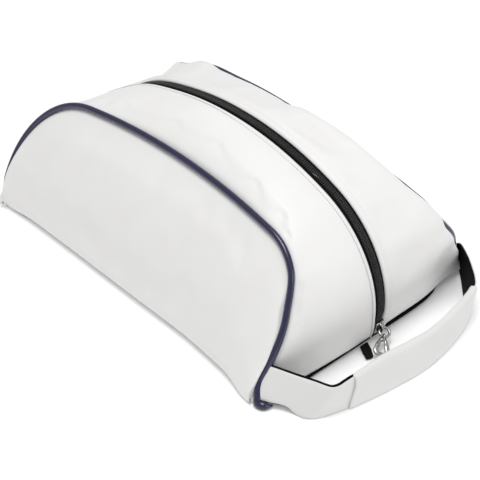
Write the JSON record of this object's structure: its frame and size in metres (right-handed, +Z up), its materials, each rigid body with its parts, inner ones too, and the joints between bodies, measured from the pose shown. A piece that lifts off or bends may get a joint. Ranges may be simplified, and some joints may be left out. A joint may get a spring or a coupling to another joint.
{
  "type": "golf shoe bag",
  "caption": "Zipped shoe bag with leaning padded sides, piped side seams, a full-length arched zip, a slider with a ring puller and a strap handle at one end.",
  "frame": {"origin": "middle of the flat underside of the base", "axes": "+X along the bag towards the handle end, +Y to the left, +Z up"},
  "size_m": [0.3842, 0.2374, 0.1324],
  "materials": {
    "leatherette": "smooth, low sheen",
    "piping": "glossy coated cord",
    "black_trim": "woven tape",
    "webbing": "flat woven webbing",
    "lining": "plain woven lining",
    "foam": "thin padding",
    "board": "stiff base board",
    "chain": "nylon coil",
    "nickel": "polished nickel plate"
  },
  "bodies": {
    "bag": {"side_panel_right": "leatherette", "side_foam_right": "foam", "side_lining_right": "lining", "piping_right": "piping", "gusset_right": "leatherette", "gusset_lining_right": "lining", "zipper_tape_right": "black_trim", "zipper_chain_right": "chain", "handle_tab_right": "leatherette", "side_panel_left": "leatherette", "side_foam_left": "foam", "side_lining_left": "lining", "piping_left": "piping", "gusset_left": "leatherette", "gusset_lining_left": "lining", "zipper_tape_left": "black_trim", "zipper_chain_left": "chain", "handle_tab_left": "leatherette", "base_panel": "black_trim", "base_board": "board", "base_lining": "lining", "base_binding": "black_trim", "zipper_front_stop": "nickel", "zipper_rear_stop": "nickel", "zipper_end_tab": "black_trim"},
    "handle": {"handle_strap": "leatherette", "handle_webbing": "webbing", "handle_grip": "leatherette"},
    "slider": {"slider_body": "nickel", "slider_crown": "nickel"},
    "ring": {"puller_ring": "nickel"},
    "pull_tab": {"puller": "nickel"}
  },
  "joints": [
    {"name": "handle_swing", "type": "hinge", "parent": "bag", "child": "handle", "pos_m": [0.1771, 0, 0.016], "axis": [0, -1, 0], "range_deg": [0, 75]},
    {"name": "slider_travel", "type": "hinge", "parent": "bag", "child": "slider", "pos_m": [0.0772, 0, 0.03198], "axis": [0, -1, 0], "range_deg": [0, 76]},
    {"name": "ring_swing", "type": "hinge", "parent": "slider", "child": "ring", "pos_m": [0.16587, 0, 0.0115], "axis": [0, -1, 0], "range_deg": [0, 90]},
    {"name": "pull_tab_sway", "type": "hinge", "parent": "ring", "child": "pull_tab", "pos_m": [0.16967, 0, 0.00973], "axis": [0.4226, 0, 0.9063], "range_deg": [-25, 125]}
  ]
}
